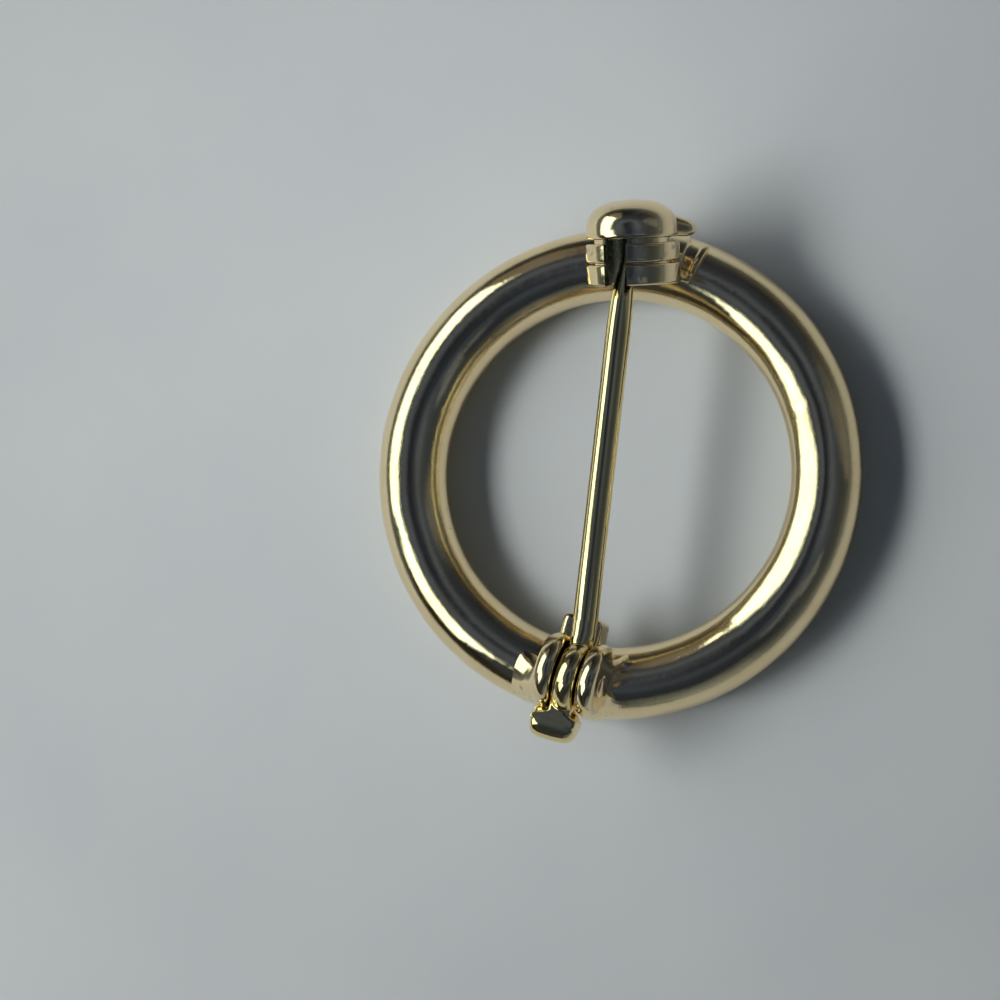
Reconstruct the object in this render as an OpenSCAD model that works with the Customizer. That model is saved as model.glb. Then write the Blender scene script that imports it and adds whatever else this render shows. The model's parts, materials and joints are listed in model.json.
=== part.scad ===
// Circle brooch lying on its front, with its hinge, pin and safety catch upwards.
// Millimetres. +X is right and +Y is up in the usual back view; +Z points away from the cloth.

/* [Ring] */
// Outside diameter of the ring
ring_d = 22; // [21:0.5:24]
// Diameter of the round wire that the ring is bent from
ring_wire_d = 3.2; // [3:0.05:3.3]

/* [Hinge] */
// Place of the hinge around the ring, in degrees from the +X side
hinge_at = -98.5; // [-104:0.5:-92]
// Turn of the hinge plates away from the brooch's own up direction
hinge_lean = 16; // [10:1:20]
// Height of the rivet above the surface that the brooch lies on
rivet_z = 5.0; // [4.9:0.05:5.2]
// Diameter of the two round hinge plates
plate_d = 3.5; // [3:0.1:3.6]
// Thickness of each hinge plate
plate_t = 0.85; // [0.6:0.05:1]
// Diameter of the rivet
rivet_d = 0.7; // [0.5:0.05:0.9]

/* [Pin] */
// Diameter of the pin wire
pin_d = 1.1; // [0.9:0.05:1.15]
// Diameter of the pin where it enters the catch
pin_neck_d = 0.86; // [0.7:0.02:0.9]
// Thickness of the flattened eye that turns on the rivet
eye_t = 1.0; // [0.8:0.05:1.2]
// Width of the heel behind the hinge
heel_w = 2.0; // [2:0.05:2.2]
// Height of the heel, top to bottom
heel_h = 1.5; // [1:0.1:1.6]
// Distance from the rivet to the end of the heel
heel_reach = 2.95; // [2.6:0.05:3.2]

/* [Catch] */
// Distance of the catch to the right of the ring's centre
catch_x = 1.45; // [1.3:0.05:1.6]
// Height of the catch's axis where the pin enters
catch_z = 5.25; // [5.2:0.05:5.5]
// Upward slope of the catch from its mouth to its knob, in degrees
catch_pitch = 11; // [6:1:13]
// Diameter of the housing and of the collar in front of it
housing_d = 4.12; // [4.1:0.02:4.4]
// Length of the turning collar
collar_l = 0.90; // [0.7:0.05:1]
// Length of the fixed housing
housing_l = 0.86; // [0.7:0.02:0.9]
// Diameter of the hole that the pin lies in
mouth_d = 2.6; // [2.4:0.05:2.6]
// Diameter of the domed knob
knob_d = 4.02; // [3.6:0.02:4.1]
// Length of the domed knob
knob_l = 1.64; // [1.5:0.02:1.8]
// Reach of the thumb tab from the catch's axis
tab_reach = 2.92; // [2.5:0.02:3]
// Direction of the thumb tab, in degrees above the right-hand side
tab_at = -27; // [-35:1:0]

/* [Hidden] */
gold = [0.83, 0.68, 0.38];
$fn = 96;
cut = 4;

// Ring
wire_r = ring_wire_d / 2;
ring_r = ring_d / 2 - wire_r;
solder_r = wire_r + 0.2;
solder_z = wire_r - 0.4;

// Hinge: its own frame has x along the rivet, y towards the catch and z up.
// A low bridge joins the two plates on the inner side, under the pin.
hinge_pos = [ring_r * cos(hinge_at), ring_r * sin(hinge_at), rivet_z];
plate_r = plate_d / 2;
side_gap = 0.06;
plate_x = eye_t / 2 + side_gap;
rivet_l = 2 * (plate_x + plate_t);
rivet_hole_r = rivet_d / 2 + 0.01;
plate_foot_w = 2.0;
plate_foot_z = 2.2;
bridge_low = [-1.25, 0.9, -2.6];
bridge_high = [0.75, 2.75, -0.65];
hinge_solder = 13;

// Pin: the eye, a short neck that bends towards the catch, and the stem, which is a
// little thicker at its root, straight over the ring's hole and tapered to its point
eye_r = 1.62;
eye_hole_r = rivet_d / 2 + 0.04;
eye_swing_r = eye_r + 0.1;
heel_start = plate_r + 0.12;
heel_edge = 0.5;
heel_swing_r = heel_reach + 0.15;
heel_swing_w = heel_w + 0.2;
bend_y = 2.05;
pin_r = pin_d / 2;
pin_root_r = pin_r + 0.02;
pin_root_l = 0.95;
neck_h = 0.99;
heel_overlap = 0.1;
pin_tip_r = 0.12;
pin_neck_l = 1.55;
pin_taper_l = 2.4;

// Catch: its own frame has y along its axis from the mouth to the knob, and z up
catch_mouth_y = 7.81;
catch_pos = [catch_x, catch_mouth_y, catch_z];
housing_r = housing_d / 2;
mouth_r = mouth_d / 2;
sleeve_r = mouth_r + 0.38;
bore_r = sleeve_r + 0.05;
face_gap = 0.06;
knob_gap = 0.2;
housing_y = collar_l + face_gap;
knob_y = housing_y + housing_l + knob_gap;
knob_r = knob_d / 2;
knob_edge = 1.0;
knob_hole = 0.25;
tab_r = 0.45;
tab_y = knob_y + 0.43;
slot_side = 0.08;
solder_from = 62;
solder_to = 72;
web_w = 2.0;
web_z = -3.3;

// The stem runs from the bend to where the pin enters the catch
pin_enter = [catch_x - 0.45, catch_mouth_y, catch_z + 0.1];
bend_pos = hinge_pos + [bend_y * sin(hinge_lean), bend_y * cos(hinge_lean), 0];
stem_run = pin_enter - bend_pos;
stem_l = norm(stem_run);
stem_yaw = atan2(stem_run.y, stem_run.x);
stem_rise = asin(stem_run.z / stem_l);
slot_mid = pin_enter.x - catch_x + 0.02;
slot_w = pin_neck_d + 2 * slot_side;

// The origin is under the middle of the outline, so the ring's centre moves up by ring_y
knob_end = catch_mouth_y + (knob_y + knob_l - knob_edge) * cos(catch_pitch)
    + (knob_r - knob_edge) * sin(catch_pitch) + knob_edge;
heel_end = hinge_pos.y - (heel_reach - heel_edge) * cos(hinge_lean)
    - (heel_w / 2 - heel_edge) * sin(hinge_lean) - heel_edge;
ring_y = -(knob_end + heel_end) / 2;

module at_ring() {
    translate([0, ring_y, 0]) children();
}

module at_hinge() {
    at_ring() translate(hinge_pos) rotate([0, 0, -hinge_lean]) children();
}

module at_catch() {
    at_ring() translate(catch_pos) rotate([catch_pitch, 0, 0]) children();
}

// A round bar along x, from one x to another
module bar_x(r, from, to) {
    translate([from, 0, 0]) rotate([0, 90, 0]) cylinder(r = r, h = to - from);
}

// A round bar along y, from one y to another
module bar_y(r, from, to) {
    translate([0, from, 0]) rotate([-90, 0, 0]) cylinder(r = r, h = to - from);
}

// A block between two corners
module block(low, high) {
    translate(low) cube(high - low);
}

// A skin of solder over the top of the ring's wire, between two angles
module solder_skin(from, to) {
    rotate([0, 0, from]) rotate_extrude(angle = to - from) intersection() {
        translate([ring_r, wire_r]) circle(r = solder_r);
        translate([ring_r - solder_r, solder_z]) square(2 * solder_r);
    }
}

// One hinge plate: a round ear on a foot that is soldered to the ring
module hinge_plate(from) {
    bar_x(plate_r, from, from + plate_t);
    block([from, -plate_foot_w / 2, plate_foot_z - rivet_z], [from + plate_t, plate_foot_w / 2, 0]);
}

// The fixed C-shaped housing and the web that it stands on
module catch_housing() {
    difference() {
        union() {
            bar_y(housing_r, housing_y, housing_y + housing_l);
            block([-web_w / 2, housing_y, web_z], [web_w / 2, housing_y + housing_l, -bore_r]);
        }
        bar_y(bore_r, housing_y - cut, housing_y + housing_l + cut);
        pin_slot();
    }
}

// The way that the pin takes out of the catch
module pin_slot() {
    block([slot_mid - slot_w / 2, -cut, 0], [slot_mid + slot_w / 2, knob_y, cut]);
}

module ring() {
    color(gold) union() {
        difference() {
            union() {
                at_ring() translate([0, 0, wire_r]) rotate_extrude() translate([ring_r, 0]) circle(r = wire_r);
                difference() {
                    at_ring() solder_skin(hinge_at - hinge_solder, hinge_at + hinge_solder);
                    at_hinge() bar_x(heel_swing_r, -heel_swing_w / 2, heel_swing_w / 2);
                }
                at_hinge() hinge_plate(plate_x);
                at_hinge() hinge_plate(-plate_x - plate_t);
                at_hinge() block(bridge_low, bridge_high);
            }
            at_hinge() bar_x(eye_swing_r, -plate_x, plate_x);
            at_hinge() bar_x(rivet_hole_r, -cut, cut);
        }
        at_ring() solder_skin(solder_from, solder_to);
        at_catch() catch_housing();
    }
}

module hinge_rivet() {
    color(gold) at_hinge() bar_x(rivet_d / 2, -rivet_l / 2, rivet_l / 2);
}

// The heel, seen from its outer end: a round bar with its top and bottom filed flat
module heel() {
    intersection() {
        rotate([90, 0, 0]) rotate_extrude() {
            square([heel_w / 2, heel_reach - heel_edge]);
            square([heel_w / 2 - heel_edge, heel_reach]);
            translate([heel_w / 2 - heel_edge, heel_reach - heel_edge]) circle(r = heel_edge);
        }
        block([-cut, -cut, -heel_h / 2], [cut, -heel_start, heel_h / 2]);
    }
}

// The stem lies along its own z: the root, straight wire, a taper, and the point inside the catch
module stem() {
    sphere(r = pin_root_r);
    cylinder(r1 = pin_root_r, r2 = pin_r, h = pin_root_l);
    translate([0, 0, pin_root_l]) cylinder(r = pin_r, h = stem_l - pin_taper_l - pin_root_l);
    translate([0, 0, stem_l - pin_taper_l]) cylinder(r1 = pin_r, r2 = pin_neck_d / 2, h = pin_taper_l);
    translate([0, 0, stem_l]) cylinder(r1 = pin_neck_d / 2, r2 = pin_tip_r, h = pin_neck_l);
    translate([0, 0, stem_l + pin_neck_l]) sphere(r = pin_tip_r);
}

module pin_stem() {
    color(gold) union() {
        at_hinge() difference() {
            union() {
                bar_x(eye_r, -eye_t / 2, eye_t / 2);
                block([-eye_t / 2, 0, -neck_h / 2], [eye_t / 2, bend_y, neck_h / 2]);
                block([-eye_t / 2, -heel_start - heel_overlap, -heel_h / 2], [eye_t / 2, 0, heel_h / 2]);
                heel();
            }
            bar_x(eye_hole_r, -cut, cut);
        }
        at_ring() translate(bend_pos) rotate([0, 90 - stem_rise, stem_yaw]) stem();
    }
}

module catch_rotor() {
    color(gold) at_catch() difference() {
        union() {
            bar_y(housing_r, 0, collar_l);
            bar_y(sleeve_r, 0, knob_y);
            translate([0, knob_y, 0]) rotate([-90, 0, 0]) rotate_extrude() {
                square([knob_r, knob_l - knob_edge]);
                square([knob_r - knob_edge, knob_l]);
                intersection() {
                    translate([knob_r - knob_edge, knob_l - knob_edge]) circle(r = knob_edge);
                    square([knob_r, knob_l]);
                }
            }
            translate([0, tab_y, 0]) rotate([0, -tab_at, 0]) bar_x(tab_r, 0, tab_reach - tab_r);
            translate([0, tab_y, 0]) rotate([0, -tab_at, 0]) translate([tab_reach - tab_r, 0, 0]) sphere(r = tab_r);
        }
        bar_y(mouth_r, -cut, knob_y + knob_hole);
        pin_slot();
    }
}

ring();
hinge_rivet();
pin_stem();
catch_rotor();
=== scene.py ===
"""A small gold circle brooch, lying on its front with its hinge, pin and safety catch upwards."""
import json
import math
import bpy
from mathutils import Matrix, Vector


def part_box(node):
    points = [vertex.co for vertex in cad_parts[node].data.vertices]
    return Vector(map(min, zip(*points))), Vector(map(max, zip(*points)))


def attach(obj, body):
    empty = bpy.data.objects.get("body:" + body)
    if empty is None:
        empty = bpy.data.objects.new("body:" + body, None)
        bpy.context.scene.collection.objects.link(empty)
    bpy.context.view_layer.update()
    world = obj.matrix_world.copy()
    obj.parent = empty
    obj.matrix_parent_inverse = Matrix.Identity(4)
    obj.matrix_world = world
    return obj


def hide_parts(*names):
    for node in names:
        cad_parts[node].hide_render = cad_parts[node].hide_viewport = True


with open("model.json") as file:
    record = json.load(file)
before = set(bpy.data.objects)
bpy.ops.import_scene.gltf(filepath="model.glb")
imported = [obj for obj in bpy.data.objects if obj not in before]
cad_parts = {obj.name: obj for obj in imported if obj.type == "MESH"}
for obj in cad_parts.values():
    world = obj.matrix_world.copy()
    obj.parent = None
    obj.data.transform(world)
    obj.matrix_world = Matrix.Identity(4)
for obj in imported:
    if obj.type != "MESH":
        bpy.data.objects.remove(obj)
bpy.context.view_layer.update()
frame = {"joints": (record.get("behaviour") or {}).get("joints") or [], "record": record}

# The view. The brooch is seen from above, and the camera leans to its right and a little towards the
# viewer. Sizes are millimetres here, and each piece is turned to metres when it is put in its place.
mm = 0.001
joints = {joint["name"]: joint for joint in frame["joints"]}
hinge_mid = Vector(joints["pin_swing"]["pos_m"]) / mm
ring_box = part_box("ring")
wire_r = 1.6
ring_r = (ring_box[1].x - ring_box[0].x) / 2 / mm - wire_r
ring_mid = Vector((0, hinge_mid.y + math.sqrt(ring_r ** 2 - hinge_mid.x ** 2), wire_r))

photo_size = 1000
ring_mid_px = Vector((618.0, 472.9))
px_per_mm = 22.36
camera_far = 150.0
camera_tilt = math.radians(12.8)
camera_turn = math.radians(-28.0)
sensor_w = 36.0

towards_camera = Vector((math.sin(camera_tilt) * math.cos(camera_turn),
                         math.sin(camera_tilt) * math.sin(camera_turn),
                         math.cos(camera_tilt)))
camera_right = Vector((0, 1, 0)).cross(towards_camera).normalized()
camera_up = towards_camera.cross(camera_right)
looking = Matrix((camera_right, camera_up, towards_camera)).transposed()
focal_px = camera_far * px_per_mm
off_middle = Vector((ring_mid_px.x - photo_size / 2, photo_size / 2 - ring_mid_px.y, -focal_px))
aimed = looking @ off_middle.rotation_difference(Vector((0, 0, -1))).to_matrix()

bpy.ops.object.camera_add()
camera = bpy.context.object
camera.matrix_world = aimed.to_4x4()
camera.location = (ring_mid + towards_camera * camera_far) * mm
camera.data.sensor_width = sensor_w
camera.data.lens = sensor_w * focal_px / photo_size
camera.data.clip_start = 0.005
camera.data.clip_end = 10.0
bpy.context.scene.camera = camera
bpy.context.scene.view_settings.view_transform = "Standard"


# The light. Two window panes stand low on the left and are mirrored in the gold. Two soft glows from the
# same side light the floor and throw the shadow, and a faint one overhead fills it. The room is a dim
# blue-grey, with a few darker and paler places.
def soft_panel(name, far, low, high, width, radiance, turn):
    """A panel of light at a distance, between two elevations in degrees, turned to the brooch."""
    low, high, turn = math.radians(low), math.radians(high), math.radians(turn)
    middle = (low + high) / 2
    height = 2 * far * math.tan((high - low) / 2)
    bpy.ops.object.light_add(type="AREA")
    panel = bpy.context.object
    panel.name = name
    panel.data.shape = "RECTANGLE"
    panel.data.size = width
    panel.data.size_y = height
    panel.data.energy = radiance * math.pi * width * height
    out = Vector((math.cos(middle) * math.cos(turn), math.cos(middle) * math.sin(turn), math.sin(middle)))
    panel.location = out * far
    panel.rotation_mode = "QUATERNION"
    panel.rotation_quaternion = out.to_track_quat("Z", "Y")
    return panel


panes = [soft_panel("pane_back", far=0.24, low=18.0, high=48.0, width=0.205, radiance=2.0, turn=158.0),
         soft_panel("pane_front", far=0.25, low=24.0, high=54.0, width=0.107, radiance=2.0, turn=201.0)]
for pane in panes:
    pane.visible_diffuse = False
    pane.data.color = (0.84, 1.0, 0.90)
glows = [soft_panel("glow_low", far=0.26, low=5.0, high=55.0, width=0.42, radiance=2.0, turn=181.0),
         soft_panel("glow_high", far=0.27, low=42.0, high=57.0, width=0.16, radiance=11.3, turn=186.0),
         soft_panel("glow_fill", far=0.30, low=60.0, high=115.0, width=0.30, radiance=0.07, turn=0.0)]
for glow in glows:
    glow.visible_glossy = False

bpy.ops.mesh.primitive_plane_add(size=1.2, location=(0, 0, -0.00002))
floor = bpy.context.object
floor.name = "floor"
floor_paint = bpy.data.materials.new("pale_floor_with_painted_light")
floor_paint.use_nodes = True
floor_nodes = floor_paint.node_tree.nodes
floor_links = floor_paint.node_tree.links
floor_shader = floor_nodes["Principled BSDF"]
floor_shader.inputs["Roughness"].default_value = 0.75
floor_shader.inputs["Specular IOR Level"].default_value = 0.25
floor_place = floor_nodes.new("ShaderNodeTexCoord")
floor_mottle = floor_nodes.new("ShaderNodeTexNoise")
floor_mottle.inputs["Scale"].default_value = 90.0
floor_mottle.inputs["Detail"].default_value = 3.0
floor_ramp = floor_nodes.new("ShaderNodeValToRGB")
floor_ramp.color_ramp.elements[0].position = 0.3
floor_ramp.color_ramp.elements[0].color = (0.54, 0.575, 0.57, 1)
floor_ramp.color_ramp.elements[1].position = 0.7
floor_ramp.color_ramp.elements[1].color = (0.565, 0.60, 0.59, 1)
# A painted pool of light: the floor's colour is brightest near one spot and grows darker away from it, as if
# lit more there.
painted_light_spot = floor_nodes.new("ShaderNodeVectorMath")
painted_light_spot.operation = "DISTANCE"
painted_light_spot.inputs[1].default_value = (-0.003, 0.011, 0)
painted_light_falloff = floor_nodes.new("ShaderNodeMapRange")
painted_light_falloff.inputs["From Max"].default_value = 0.034
painted_light_falloff.inputs["To Min"].default_value = 1.07
painted_light_falloff.inputs["To Max"].default_value = 0.83
floor_tone_and_painted_light = floor_nodes.new("ShaderNodeVectorMath")
floor_tone_and_painted_light.operation = "SCALE"
floor_links.new(floor_place.outputs["Object"], painted_light_spot.inputs[0])
floor_links.new(painted_light_spot.outputs["Value"], painted_light_falloff.inputs["Value"])
floor_links.new(floor_place.outputs["Object"], floor_mottle.inputs["Vector"])
floor_links.new(floor_mottle.outputs["Fac"], floor_ramp.inputs["Fac"])
floor_links.new(floor_ramp.outputs["Color"], floor_tone_and_painted_light.inputs[0])
floor_links.new(painted_light_falloff.outputs["Result"], floor_tone_and_painted_light.inputs["Scale"])
floor_links.new(floor_tone_and_painted_light.outputs["Vector"], floor_shader.inputs["Base Color"])
floor.data.materials.append(floor_paint)

room = bpy.data.worlds.new("room")
room.use_nodes = True
bpy.context.scene.world = room
room_nodes = room.node_tree.nodes
room_links = room.node_tree.links
room_place = room_nodes.new("ShaderNodeTexCoord")
room_noise = room_nodes.new("ShaderNodeTexNoise")
room_noise.inputs["Scale"].default_value = 2.6
room_noise.inputs["Detail"].default_value = 3.0
room_wobble = room_nodes.new("ShaderNodeVectorMath")
room_wobble.operation = "MULTIPLY_ADD"
room_wobble.inputs[1].default_value = (0.30, 0.30, 0.14)
room_middle = room_nodes.new("ShaderNodeVectorMath")
room_middle.operation = "SUBTRACT"
room_middle.inputs[1].default_value = (0.15, 0.15, 0.07)
room_axes = room_nodes.new("ShaderNodeSeparateXYZ")
room_ramp = room_nodes.new("ShaderNodeValToRGB")
room_tones = ((0.0, (0.135, 0.16, 0.17)), (0.10, (0.11, 0.13, 0.14)), (0.25, (0.060, 0.072, 0.078)),
              (0.42, (0.042, 0.051, 0.062)), (0.62, (0.034, 0.044, 0.064)), (0.82, (0.045, 0.060, 0.090)),
              (0.90, (0.072, 0.094, 0.145)), (0.955, (0.064, 0.083, 0.130)), (0.985, (0.030, 0.040, 0.064)))
room_stops = room_ramp.color_ramp.elements
beside = 0.0005  # keeps the new stops off the ramp's own two, at 0 and 1, which are then removed
for height, tone in room_tones:
    stop = room_stops.new(height + beside)
    stop.color = (*tone, 1)
room_stops.remove(room_stops[0])
room_stops.remove(room_stops[-1])
room_links.new(room_place.outputs["Generated"], room_noise.inputs["Vector"])
room_links.new(room_noise.outputs["Color"], room_wobble.inputs[0])
room_links.new(room_place.outputs["Generated"], room_wobble.inputs[2])
room_links.new(room_wobble.outputs["Vector"], room_middle.inputs[0])
room_links.new(room_middle.outputs["Vector"], room_axes.inputs["Vector"])
room_links.new(room_axes.outputs["Z"], room_ramp.inputs["Fac"])

# A mix node has inputs and outputs of one name for each kind of data. These are the colour ones.
mix_a, mix_b, mix_out = 6, 7, 2


def room_patch(below, blend, turn, high, inner, outer, colour):
    """Lays one soft patch over the room. Its direction, its core and its edge are in degrees."""
    turn, high = math.radians(turn), math.radians(high)
    towards = room_nodes.new("ShaderNodeVectorMath")
    towards.operation = "DOT_PRODUCT"
    level = math.cos(high)
    towards.inputs[1].default_value = (level * math.cos(turn), level * math.sin(turn), math.sin(high))
    share = room_nodes.new("ShaderNodeMapRange")
    share.interpolation_type = "SMOOTHSTEP"
    share.inputs["From Min"].default_value = math.cos(math.radians(outer))
    share.inputs["From Max"].default_value = math.cos(math.radians(inner))
    over = room_nodes.new("ShaderNodeMix")
    over.data_type = "RGBA"
    over.blend_type = blend
    over.inputs[mix_b].default_value = (*colour, 1)
    room_links.new(room_middle.outputs["Vector"], towards.inputs[0])
    room_links.new(towards.outputs["Value"], share.inputs["Value"])
    room_links.new(share.outputs["Result"], over.inputs[0])
    room_links.new(below, over.inputs[mix_a])
    return over.outputs[mix_out]


room_sky = room_patch(room_ramp.outputs["Color"], "MULTIPLY", -85, 52, 22, 44, (0.55, 0.58, 0.64))
room_sky = room_patch(room_sky, "MULTIPLY", 82, 35, 18, 38, (0.60, 0.60, 0.66))
room_sky = room_patch(room_sky, "MULTIPLY", 222, 8, 18, 34, (0.30, 0.24, 0.18))
room_sky = room_patch(room_sky, "MULTIPLY", 108, 18, 14, 30, (0.50, 0.45, 0.40))
room_sky = room_patch(room_sky, "MULTIPLY", 50, 12, 14, 30, (0.75, 0.66, 0.58))
room_sky = room_patch(room_sky, "MULTIPLY", 152, 77, 5, 14, (0.50, 0.50, 0.55))
room_sky = room_patch(room_sky, "ADD", 123, 32, 4, 14, (0.13, 0.12, 0.10))
room_sky = room_patch(room_sky, "ADD", 22, 29, 6, 22, (0.07, 0.068, 0.06))
room_sky = room_patch(room_sky, "ADD", -45, 50, 3, 9, (0.08, 0.09, 0.10))
room_sky = room_patch(room_sky, "ADD", -72, 12, 6, 26, (0.07, 0.08, 0.085))
room_links.new(room_sky, room_nodes["Background"].inputs["Color"])


brown_film = (0.36, 0.27, 0.17)


def put_in_place(piece, place):
    """Turns a piece that was modelled in millimetres to metres, and puts it where it belongs."""
    bpy.ops.object.select_all(action="DESELECT")
    piece.select_set(True)
    bpy.context.view_layer.objects.active = piece
    piece.matrix_world = Matrix.Scale(mm, 4) @ place
    bpy.ops.object.transform_apply(location=True, rotation=True, scale=True)


def apply_modifier(piece, kind, **settings):
    """Adds one modifier to a piece with its settings, and applies it."""
    bpy.context.view_layer.objects.active = piece
    modifier = piece.modifiers.new(kind.lower(), kind)
    for name, value in settings.items():
        setattr(modifier, name, value)
    bpy.ops.object.modifier_apply(modifier=modifier.name)


def rub_wavy(piece, amount, size):
    """Gives a surface the faint waves that polishing by hand leaves."""
    waves = bpy.data.textures.new(piece.name + "_waves", "CLOUDS")
    waves.noise_scale = size
    waves.noise_depth = 1
    apply_modifier(piece, "DISPLACE", texture=waves, strength=amount, mid_level=0.5)
    bpy.data.textures.remove(waves)


def new_material(name):
    """An empty procedural material, with its nodes, its links and its main shader."""
    made = bpy.data.materials.new(name)
    made.use_nodes = True
    return made, made.node_tree.nodes, made.node_tree.links, made.node_tree.nodes["Principled BSDF"]


def gold(name, place, smooth, worn, scratch, ripple, strokes=(14.0, 1.5, 14.0), grime=0.0, on_uv=False,
         deep=(0.92, 0.73, 0.43), pale=(0.97, 0.79, 0.49)):
    """Polished gold. place is the matrix from millimetres round the piece's own middle to the row frame.
    Roughness goes from smooth to worn in patches, and scratch and ripple are bump heights in mm. strokes
    stretches the scratches, on the piece's own UV map if on_uv. grime is the share of the surface that
    has gone dull and brown."""
    made, nodes, links, shader = new_material(name)
    shader.inputs["Metallic"].default_value = 1.0
    where = nodes.new("ShaderNodeTexCoord")
    in_mm = nodes.new("ShaderNodeMapping")
    in_mm.vector_type = "TEXTURE"
    in_mm.inputs["Location"].default_value = place.to_translation() * mm
    in_mm.inputs["Rotation"].default_value = place.to_euler()
    in_mm.inputs["Scale"].default_value = (mm, mm, mm)
    links.new(where.outputs["Object"], in_mm.inputs["Vector"])

    def noise(scale, detail, vector=None, rough=0.5):
        node = nodes.new("ShaderNodeTexNoise")
        node.inputs["Scale"].default_value = scale
        node.inputs["Detail"].default_value = detail
        node.inputs["Roughness"].default_value = rough
        links.new(vector or in_mm.outputs["Vector"], node.inputs["Vector"])
        return node.outputs["Fac"]

    def remap(value, from_min, from_max, to_min, to_max):
        node = nodes.new("ShaderNodeMapRange")
        node.inputs["From Min"].default_value = from_min
        node.inputs["From Max"].default_value = from_max
        node.inputs["To Min"].default_value = to_min
        node.inputs["To Max"].default_value = to_max
        links.new(value, node.inputs["Value"])
        return node.outputs["Result"]

    tone = nodes.new("ShaderNodeValToRGB")
    tone.color_ramp.elements[0].position = 0.35
    tone.color_ramp.elements[0].color = (*deep, 1)
    tone.color_ramp.elements[1].position = 0.6
    tone.color_ramp.elements[1].color = (*pale, 1)
    links.new(noise(0.5, 3), tone.inputs["Fac"])
    dirt = remap(noise(2.2, 6, rough=0.7), 0.66 - 0.3 * grime, 0.80 - 0.3 * grime, 0.0, 1.0)
    stained = nodes.new("ShaderNodeMix")
    stained.data_type = "RGBA"
    stained.inputs[mix_b].default_value = (*brown_film, 1)
    links.new(dirt, stained.inputs[0])
    links.new(tone.outputs["Color"], stained.inputs[mix_a])
    links.new(stained.outputs[mix_out], shader.inputs["Base Color"])
    rough = nodes.new("ShaderNodeMath")
    rough.operation = "MULTIPLY_ADD"
    rough.inputs[1].default_value = 0.22
    links.new(dirt, rough.inputs[0])
    links.new(remap(noise(0.9, 5, rough=0.65), 0.45, 0.75, smooth, worn), rough.inputs[2])
    links.new(rough.outputs["Value"], shader.inputs["Roughness"])

    wave = nodes.new("ShaderNodeBump")
    wave.inputs["Distance"].default_value = ripple * mm
    links.new(noise(2.4, 3, rough=0.55), wave.inputs["Height"])
    stroke = nodes.new("ShaderNodeBump")
    stroke.inputs["Distance"].default_value = scratch * mm
    links.new(wave.outputs["Normal"], stroke.inputs["Normal"])
    along = nodes.new("ShaderNodeMapping")
    along.inputs["Scale"].default_value = strokes
    links.new(where.outputs["UV"] if on_uv else in_mm.outputs["Vector"], along.inputs["Vector"])
    links.new(noise(1.0, 6, along.outputs["Vector"], 0.7), stroke.inputs["Height"])
    links.new(stroke.outputs["Normal"], shader.inputs["Normal"])
    return made


# Ring. A seamless ring of round gold wire, polished all over. Hand polishing has left the surface
# very slightly wavy, and wear has left fine scratches that run round the ring.
bpy.ops.object.select_all(action="DESELECT")
bpy.ops.mesh.primitive_torus_add(major_segments=320, minor_segments=80, major_radius=ring_r,
                                 minor_radius=wire_r)
ring_wire = bpy.context.object
ring_wire.name = "ring_wire"
bpy.ops.object.shade_smooth()

# Between the hinge and the catch its inner shoulder is polished a little flat, in three steps that grow
# deeper towards the middle.
shoulder_line = ring_r - wire_r * math.sin(math.radians(22.5))
shoulder_core = 0.02
shoulder_width = 0.85
shoulder_steps = ((-52, 30, 0.035), (-43, 18, 0.035), (-34, 6, 0.025))
for start, end, deep in shoulder_steps:
    bpy.ops.object.mode_set(mode="EDIT")
    bpy.ops.mesh.select_all(action="DESELECT")
    bpy.ops.object.mode_set(mode="OBJECT")
    for vertex in ring_wire.data.vertices:
        from_line = math.hypot(vertex.co.x, vertex.co.y) - shoulder_line
        along = math.degrees(math.atan2(vertex.co.y, vertex.co.x))
        vertex.select = vertex.co.z > 0 and abs(from_line) < shoulder_core and start < along < end
    bpy.ops.object.mode_set(mode="EDIT")
    bpy.ops.transform.translate(value=(0, 0, -deep), use_proportional_edit=True,
                                proportional_edit_falloff="SMOOTH", proportional_size=shoulder_width)
    bpy.ops.object.mode_set(mode="OBJECT")
rub_wavy(ring_wire, 0.03, 2.2)
ring_place = Matrix.Translation(ring_mid)
put_in_place(ring_wire, ring_place)
ring_wire.data.materials.append(gold("ring_gold", ring_place, smooth=0.03, worn=0.10, scratch=0.003,
                                     ripple=0.006, strokes=(40.0, 250.0, 1.0), grime=0.1, on_uv=True))
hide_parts("ring")
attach(ring_wire, "frame")


# Hinge mount. Two round-topped gold plates stand on the ring with the pin's eye between them. A low
# bridge joins them on the inner side, and all of it is held by a generous flow of gold solder.
hinge_x = Vector(joints["pin_swing"]["axis"])
hinge_place = Matrix((hinge_x, Vector((0, 0, 1)).cross(hinge_x), Vector((0, 0, 1)))).transposed().to_4x4()
hinge_place.translation = hinge_mid
along_x = Matrix()
along_y = Matrix.Rotation(math.radians(90), 4, "Z")
plate_r = 1.67
plate_t = 0.85
plate_mid = 0.985
plate_y = 0.14
tube_z = -hinge_mid.z + wire_r
tube_lean = 0.1317
mount_voxel = 0.042


def only(piece):
    """Makes one piece the selected and active one."""
    bpy.ops.object.select_all(action="DESELECT")
    piece.select_set(True)
    bpy.context.view_layer.objects.active = piece


def move(piece, place):
    """Moves a piece by a matrix, and leaves its object at the origin."""
    only(piece)
    piece.matrix_world = place
    bpy.ops.object.transform_apply(location=True, rotation=True, scale=True)
    return piece


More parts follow.
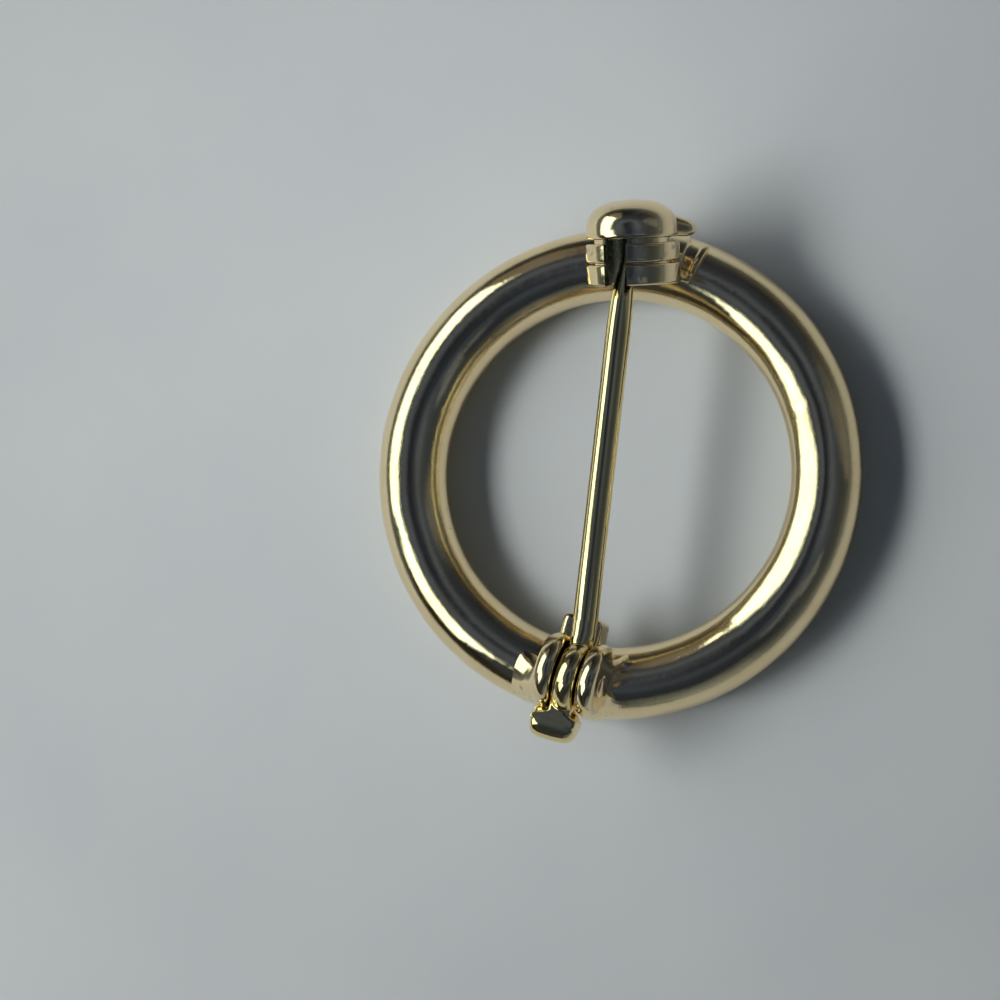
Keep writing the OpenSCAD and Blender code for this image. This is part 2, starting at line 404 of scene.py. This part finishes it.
def swept(name, rings, segments=48):
    """A solid drawn through round sections. Each ring is (x, y, z, half width in y, half height in z)."""
    bpy.ops.object.select_all(action="DESELECT")
    x, y, z, wide, tall = rings[0]
    bpy.ops.mesh.primitive_circle_add(vertices=segments, radius=1, fill_type="NGON", location=(x, y, z),
                                      rotation=(0, math.radians(90), 0))
    piece = bpy.context.object
    piece.name = name
    bpy.ops.object.mode_set(mode="EDIT")
    bpy.ops.mesh.select_all(action="SELECT")
    bpy.ops.transform.resize(value=(1, wide, tall))
    for ring in rings[1:]:
        step = (ring[0] - x, ring[1] - y, ring[2] - z)
        bpy.ops.mesh.extrude_region_move(TRANSFORM_OT_translate={"value": step})
        bpy.ops.transform.resize(value=(1, ring[3] / wide, ring[4] / tall))
        x, y, z, wide, tall = ring
    bpy.ops.mesh.select_all(action="SELECT")
    bpy.ops.mesh.normals_make_consistent(inside=False)
    bpy.ops.object.mode_set(mode="OBJECT")
    return move(piece, piece.matrix_world.copy())


def turned(name, stations, place=Matrix(), segments=96):
    """A solid turned on a lathe. Each station is (distance along the axis, radius)."""
    return move(swept(name, [(s, 0, 0, r, r) for s, r in stations], segments), place)


def rounded_bar(start, end, radius, edge, steps=8):
    """Stations of a round bar whose two rims are rounded by edge."""
    turn = [math.radians(90 * i / steps) for i in range(steps + 1)]
    near = [(start + edge * (1 - math.sin(a)), radius - edge * (1 - math.cos(a))) for a in turn[::-1]]
    far = [(end - edge * (1 - math.sin(a)), radius - edge * (1 - math.cos(a))) for a in turn]
    return near + far


def block(name, low, high, edge=0.0, steps=4):
    """A block between two corners, with rounded edges."""
    bpy.ops.object.select_all(action="DESELECT")
    low, high = Vector(low), Vector(high)
    bpy.ops.mesh.primitive_cube_add(size=1, location=(low + high) / 2)
    piece = bpy.context.object
    piece.name = name
    piece.scale = high - low
    bpy.ops.object.transform_apply(location=True, rotation=True, scale=True)
    if edge:
        apply_modifier(piece, "BEVEL", width=edge, segments=steps, limit_method="NONE")
    return piece


def join(name, pieces):
    """Puts several solids into one object."""
    bpy.ops.object.select_all(action="DESELECT")
    for piece in pieces:
        piece.select_set(True)
    bpy.context.view_layer.objects.active = pieces[0]
    bpy.ops.object.join()
    pieces[0].name = name
    return pieces[0]


def cut(piece, *cutters):
    """Takes the cutters out of a piece."""
    for cutter in cutters:
        apply_modifier(piece, "BOOLEAN", object=cutter, operation="DIFFERENCE", solver="EXACT")
        bpy.data.objects.remove(cutter)


def flow(piece, voxel, rounds, weight):
    """Melts overlapping solids into one skin, and smooths it where weight(point) is over 0."""
    apply_modifier(piece, "REMESH", mode="VOXEL", voxel_size=voxel, use_smooth_shade=True)
    soft = piece.vertex_groups.new(name="soft")
    for vertex in piece.data.vertices:
        share = weight(vertex.co)
        if share > 0:
            soft.add([vertex.index], min(1.0, share), "REPLACE")
    apply_modifier(piece, "SMOOTH", factor=0.5, iterations=rounds, vertex_group="soft")
    piece.vertex_groups.clear()


def trim(piece, point, normal):
    """Cuts away the part of a piece that lies beyond a plane, and closes the cut."""
    only(piece)
    bpy.ops.object.mode_set(mode="EDIT")
    bpy.ops.mesh.select_all(action="SELECT")
    bpy.ops.mesh.bisect(plane_co=point, plane_no=normal, use_fill=True, clear_outer=True, threshold=0.00001)
    bpy.ops.object.mode_set(mode="OBJECT")


def ring_piece(name, start, end, radius, low, inner=None):
    """A stretch of the ring's own wire between two angles round the ring, of another thickness. Only the
    part over the height low is kept, and outside the distance inner from the ring's middle."""
    bpy.ops.object.select_all(action="DESELECT")
    bpy.ops.mesh.primitive_torus_add(major_segments=256, minor_segments=64, major_radius=ring_r,
                                     minor_radius=radius)
    piece = bpy.context.object
    piece.name = name
    trim(piece, (0, 0, 0), (math.sin(math.radians(start)), -math.cos(math.radians(start)), 0))
    trim(piece, (0, 0, 0), (-math.sin(math.radians(end)), math.cos(math.radians(end)), 0))
    trim(piece, (0, 0, low), (0, 0, -1))
    if inner is not None:
        middle = math.radians((start + end) / 2)
        outwards = Vector((math.cos(middle), math.sin(middle), 0))
        trim(piece, outwards * inner, -outwards)
    return piece


def along_tube(x):
    """How far the middle of the ring's wire lies towards the catch, at a place along the rivet."""
    return tube_lean * x + x * x / (2 * ring_r)


def solder_flow(name, stations):
    """A solid that runs down from a plate to the ring's wire. Each station is (x, top, half width, aside)."""
    rings = [(x, along_tube(x) + aside, tube_z, wide, top - tube_z) for x, top, wide, aside in stations]
    piece = swept(name, rings, 64)
    trim(piece, (0, 0, tube_z), (0, 0, -1))
    return piece


def leaning_rim(half, radius, steep):
    """Stations of a disc whose rim is worn down on its left side, as the hinge's discs are."""
    left = ((1, 0.45), (0.99, 0.36), (0.95, 0.28), (0.86, 0.215), (0.72, 0.165), (0.48, 0.10), (0.24, 0.048),
            (0, 0.012), (-0.24, 0), (-0.5, 0.01), (-0.7, 0.05), (-0.86, 0.12), (-0.96, 0.22), (-1, 0.34))
    return [(-half * share, radius - steep * drop) for share, drop in left]


hinge_angle = math.degrees(math.atan2(hinge_mid.y - ring_mid.y, hinge_mid.x - ring_mid.x))
to_hinge = hinge_place.inverted() @ ring_place
mount_seat = ring_piece("mount_seat", hinge_angle - 20, hinge_angle + 17, wire_r - 0.08, 0.0)
mount_parts = [move(mount_seat, to_hinge)]
for side in (-1, 1):
    stations = leaning_rim(plate_t / 2, plate_r, 1.0)
    plate_place = Matrix.Translation((side * plate_mid, plate_y, 0)) @ along_x
    mount_parts.append(turned("plate", stations, plate_place))
    inner = side * plate_mid - plate_t / 2 + 0.03
    mount_parts.append(block("foot", (inner, -1.0, -2.8), (inner + plate_t - 0.06, 1.0, -0.3), 0.12))
mount_parts.append(block("bridge", (-1.28, 0.9, -2.6), (0.58, 2.78, -0.66), 0.32))
mount_parts.append(solder_flow("left_flow", [(-0.7, -0.3, 0.95, -0.1), (-1.42, -0.5, 1.05, -0.28),
                                             (-1.7, -0.95, 1.15, -0.36), (-2.05, -1.3, 1.25, -0.36),
                                             (-2.45, -1.56, 1.38, -0.26), (-2.85, -1.74, 1.5, -0.12),
                                             (-3.2, -1.9, 1.57, -0.03), (-3.45, -2.3, 1.58, 0),
                                             (-3.6, -2.9, 1.4, 0)]))
right_flow = solder_flow("right_flow", [(0.7, -0.3, 1.0, 0), (1.36, -0.6, 1.2, 0), (1.5, -1.2, 1.45, 0),
                                        (1.65, -1.6, 1.6, 0), (1.9, -1.9, 1.67, 0), (2.3, -2.15, 1.68, 0),
                                        (2.7, -2.5, 1.66, 0), (3.0, -3.2, 1.4, 0)])
toe = solder_flow("toe", [(0.3, -1.0, 1.4, -0.35), (0.9, -1.3, 1.5, -0.30), (1.5, -1.5, 1.5, -0.12),
                          (2.1, -1.7, 1.55, -0.02)])
# The solder's edge is hollow where it ends on top of the ring, and runs on along both its sides.
bay_x, bay_y, bay_r = 2.17, 0.33, 0.86
bay_place = Matrix.Translation((bay_x, bay_y, 0)) @ Matrix.Rotation(math.radians(-90), 4, "Y")
for piece in (right_flow, toe):
    cut(piece, turned("bay", [(-4, bay_r), (1, bay_r)], bay_place, 64),
        block("bay_end", (bay_x, bay_y - bay_r, -4), (4, bay_y + bay_r, 1)))
mount_parts += [right_flow, toe]
hinge_mount = join("hinge_mount", mount_parts)
flow(hinge_mount, mount_voxel, 50, lambda p: (-0.5 - p.z) / 0.7)
cut(hinge_mount, turned("eye_room", rounded_bar(-0.56, 0.56, 1.72, 0.2), along_x, 64),
    turned("rivet_room", [(-1.6, 0.36), (1.6, 0.36)], along_x, 48))
# The heel swings down behind the hinge, and the solder leaves room for it all the way.
for swing in (0, 13, 26, 39):
    heel_room = block("heel_room", (-1.28, -3.2, -0.8), (0.98, -1.6, 0.8))
    cut(hinge_mount, move(heel_room, Matrix.Rotation(math.radians(swing), 4, "X")))
only(hinge_mount)
bpy.ops.object.shade_smooth_by_angle(angle=math.radians(50))
put_in_place(hinge_mount, hinge_place)
hinge_mount.data.materials.append(gold("mount_gold", hinge_place, smooth=0.08, worn=0.22, scratch=0.002,
                                       ripple=0.004, strokes=(12.0, 3.0, 3.0), grime=0.35))
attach(hinge_mount, "frame")


# Rivet. A short gold wire through both plates and the pin's eye, with both ends peened to low domes.
rivet_r = 0.35
rivet_head_r = 0.5
plate_face = plate_mid + plate_t / 2
head = [(plate_face - 0.02, rivet_head_r), (plate_face + 0.04, rivet_head_r - 0.02),
        (plate_face + 0.09, rivet_head_r - 0.1), (plate_face + 0.12, rivet_head_r - 0.28),
        (plate_face + 0.125, 0.05)]
shank = [(-plate_face + 0.02, rivet_r), (plate_face - 0.02, rivet_r)]
rivet = turned("rivet", [(-s, r) for s, r in head[::-1]] + shank + head, along_x, 48)
only(rivet)
bpy.ops.object.shade_smooth_by_angle(angle=math.radians(40))
put_in_place(rivet, hinge_place)
rivet.data.materials.append(gold("rivet_gold", hinge_place, smooth=0.08, worn=0.2, scratch=0.002,
                                 ripple=0.002))
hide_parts("hinge_rivet")
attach(rivet, "frame")


# Catch housing. A short gold tube with a slot for the pin, soldered on a web and a spread foot to the
# top of the ring. The turning part of the catch runs inside it.
catch_mid = Vector(joints["catch_turn"]["pos_m"]) / mm
catch_y = -Vector(joints["catch_turn"]["axis"])
catch_x = Vector((1, 0, 0))
catch_place = Matrix((catch_x, catch_y, catch_x.cross(catch_y))).transposed().to_4x4()
catch_place.translation = catch_mid
housing_r = 2.06
bore_r = 1.73
collar_start = 0.08
collar_end = 1.0
housing_start = 1.06
housing_end = 1.9
slot_left = -0.94
slot_right = 0.08


def slot_room(end):
    """The way out of the catch for the pin."""
    return block("slot_room", (slot_left, -2, 0), (slot_right, end, 4))


def paint_inside_shade(piece, reach):
    """Gives the inside of the catch a dark, rougher gold, whose dark colour is painted shade: the bore, out
    to a radius, and the slot.
    """
    piece.data.materials.append(inside_shade_gold)
    to_own = (Matrix.Scale(mm, 4) @ catch_place).inverted()
    for face in piece.data.polygons:
        middle = to_own @ face.center
        normal = catch_place.to_3x3().inverted() @ face.normal
        inward = normal.dot(Vector((middle.x, 0, middle.z))) < 0
        in_bore = math.hypot(middle.x, middle.z) < reach and inward and middle.y > collar_start + 0.05
        in_slot = middle.z > 0 and abs(normal.x) > 0.99 and slot_left - 0.01 < middle.x < slot_right + 0.01
        if in_bore or in_slot:
            face.material_index = 1


# The inside of the catch has a dark, rougher gold. Its dark colour is painted shade in the bore and the slot.
inside_shade_gold = gold("catch_inside_painted_shade", catch_place, smooth=0.24, worn=0.34, scratch=0.003, ripple=0.002,
                   grime=0.1, deep=(0.30, 0.29, 0.26), pale=(0.40, 0.39, 0.35))
to_catch = catch_place.inverted() @ ring_place
housing_parts = [turned("housing", rounded_bar(housing_start, housing_end, housing_r, 0.12, 5), along_y)]
housing_parts.append(block("web", (-1.0, housing_start, -3.3), (1.0, housing_end, -1.6), 0.15))
foot_steps = ((66, 67.6, 0.26, 1.1, 9.3), (67, 74, 0.10, 1.1, 8.9), (71, 88, 0.22, 0.9, 8.6))
for start, end, skin, low, inner in foot_steps:
    housing_parts.append(move(ring_piece("foot", start, end, wire_r + skin, low, inner), to_catch))
housing_parts.append(move(ring_piece("seat", 62, 94, wire_r - 0.06, 0.3), to_catch))
catch_housing = join("catch_housing", housing_parts)
flow(catch_housing, mount_voxel, 26, lambda p: (-1.5 - p.z) / 0.4)
cut(catch_housing, turned("bore_room", [(-2, bore_r), (5, bore_r)], along_y),
    turned("collar_room", [(-2, housing_r + 0.09), (housing_start - 0.01, housing_r + 0.09)], along_y),
    turned("knob_room", [(housing_end + 0.01, 2.16), (5, 2.16)], along_y), slot_room(4))
only(catch_housing)
bpy.ops.object.shade_smooth_by_angle(angle=math.radians(45))
put_in_place(catch_housing, catch_place)
catch_housing.data.materials.append(gold("housing_gold", catch_place, smooth=0.10, worn=0.22, scratch=0.002,
                                         ripple=0.006, grime=0.3))
# The housing's bore and slot get their painted shade.
paint_inside_shade(catch_housing, bore_r + 0.03)
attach(catch_housing, "frame")


# Catch rotor. A collar in front of the housing, a sleeve through it and a domed knob behind it, all
# turned from one piece of gold, with a thumb tab. Turning it closes the housing's slot over the pin.
sleeve_r = 1.68
mouth_r = 1.3
knob_start = 2.1
knob_end = 3.79
knob_r = 2.01
dome_start = 2.32
tab_angle = math.radians(-27)
dome = []
for i in range(19):
    t = math.sin(math.radians(90 * i / 18))
    dome.append((dome_start + (knob_end - dome_start) * t, max(0.06, knob_r * (1 - t ** 2.7) ** 0.40)))
rotor_stations = (rounded_bar(collar_start, collar_end, housing_r, 0.12, 5)
                  + [(collar_end, sleeve_r), (knob_start, sleeve_r), (knob_start, knob_r - 0.12),
                     (knob_start + 0.04, knob_r - 0.04), (knob_start + 0.12, knob_r)] + dome)
catch_rotor = turned("rotor", rotor_stations, along_y)
tab_turn = Matrix.Rotation(-tab_angle, 4, "Y")
tab = swept("tab", [(1.4, 0.52, 0, 0.5, 0.36), (2.0, 0.46, 0, 0.46, 0.36), (2.4, 0.38, 0, 0.40, 0.34),
                    (2.65, 0.33, 0, 0.33, 0.29), (2.82, 0.29, 0, 0.23, 0.2), (2.91, 0.27, 0, 0.08, 0.07)], 40)
move(tab, Matrix.Translation((0, knob_start, 0)) @ tab_turn)
apply_modifier(catch_rotor, "BOOLEAN", object=tab, operation="UNION", solver="EXACT")
bpy.data.objects.remove(tab)
mouth = turned("mouth", [(-1, mouth_r + 0.06), (collar_start + 0.06, mouth_r), (2.3, mouth_r)], along_y)
cut(catch_rotor, mouth, slot_room(knob_start))
only(catch_rotor)
bpy.ops.object.shade_smooth_by_angle(angle=math.radians(35))
put_in_place(catch_rotor, catch_place)
catch_rotor.data.materials.append(gold("rotor_gold", catch_place, smooth=0.08, worn=0.18, scratch=0.002,
                                       ripple=0.004, grime=0.1))
# The rotor's mouth and slot get their painted shade.
paint_inside_shade(catch_rotor, mouth_r + 0.08)
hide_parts("catch_rotor")
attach(catch_rotor, "rotor")


# Pin. A round gold wire with a tapered point. Its other end is flattened to the eye that turns on the
# rivet, and a broad heel with a filed flat top sticks out behind the hinge.
wire_mount = next(mount for mount in frame["record"]["mounts"] if mount["name"] == "pin_wire")
pin_r = wire_mount["dims"]["r_mm"]
stem_along = Vector(wire_mount["axis"]).normalized()
bend = hinge_place @ Vector((0, 2.05, 0))
stem_length = 15.25
stem_side = stem_along.cross(Vector((0, 0, 1))).normalized()
stem_place = Matrix((stem_along, stem_side, stem_along.cross(stem_side))).transposed().to_4x4()
stem_place.translation = bend
to_hinge_stem = hinge_place.inverted() @ stem_place
eye_r = 1.62
eye_t = 1.0
along_back = Matrix.Rotation(math.radians(90), 4, "Z")
pin_parts = [turned("eye", leaning_rim(eye_t / 2, eye_r, 1.15), along_x)]
neck = [(0.3, 0, 0, 0.46, 0.75), (1.0, 0, 0, 0.48, 0.66), (1.6, 0, 0, 0.52, 0.56), (2.05, 0, 0, 0.545, 0.545)]
pin_parts.append(move(swept("neck", neck), along_back))
pin_parts.append(move(turned("stem_root", [(-0.25, 0.4), (0, 0.54), (1.6, 0.545)]), to_hinge_stem))
pin_parts.append(block("heel_neck", (-0.5, -2.2, -0.62), (0.5, -0.8, 0.66), 0.1))
# The heel's top is a flat plate, whose corners towards the eye are filed off at a slant.
heel_top = block("heel_top", (-1.18, -2.1, -0.70), (0.86, -1.45, 0.70))
for side in (-1, 1):
    trim(heel_top, (side * 0.52, -1.62, 0), (side * 0.4, 0.92, 0))
heel_rings = ((-1.18, 0.44, 0.45), (-1.14, 0.56, 0.58), (-1.0, 0.68, 0.67), (-0.74, 0.76, 0.70),
              (-0.14, 0.78, 0.70), (0.46, 0.74, 0.70), (0.70, 0.62, 0.67), (0.82, 0.46, 0.58),
              (0.86, 0.32, 0.45))
heel_end = swept("heel_end", [(x, -2.1, 0, wide, tall) for x, wide, tall in heel_rings])
pin_parts += [heel_top, heel_end]
knuckle = join("knuckle", pin_parts)
flow(knuckle, 0.045, 8, lambda p: 1.0 if abs(p.y) > 1.0 else 0.2)
cut(knuckle, turned("rivet_hole", [(-1, 0.39), (1, 0.39)], along_x, 48))
only(knuckle)
bpy.ops.object.shade_smooth_by_angle(angle=math.radians(50))
put_in_place(knuckle, hinge_place)

taper = 2.4
neck_r = 0.43
tip_l = 1.55
stem = turned("stem", [(0.5, pin_r), (stem_length - taper, pin_r), (stem_length - taper * 0.6, pin_r * 0.965),
                       (stem_length - taper * 0.3, pin_r * 0.89), (stem_length, neck_r),
                       (stem_length + tip_l * 0.6, neck_r * 0.62), (stem_length + tip_l * 0.95, 0.16),
                       (stem_length + tip_l + 0.06, 0.11), (stem_length + tip_l + 0.11, 0.03)], segments=64)
# The wire has a faint flat along its upper left side.
trim(stem, (0, -0.172, 0.428), (0, -0.372, 0.928))
apply_modifier(stem, "BEVEL", width=0.09, segments=4, limit_method="ANGLE", angle_limit=math.radians(20))
only(stem)
bpy.ops.object.shade_smooth_by_angle(angle=math.radians(50))
put_in_place(stem, stem_place)
pin = join("pin", [knuckle, stem])
pin.data.materials.append(gold("pin_gold", stem_place, smooth=0.06, worn=0.16, scratch=0.0015, ripple=0.002,
                               strokes=(1.5, 16.0, 16.0), deep=(0.90, 0.73, 0.36), pale=(0.96, 0.79, 0.42)))
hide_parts("pin_stem")
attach(pin, "pin")
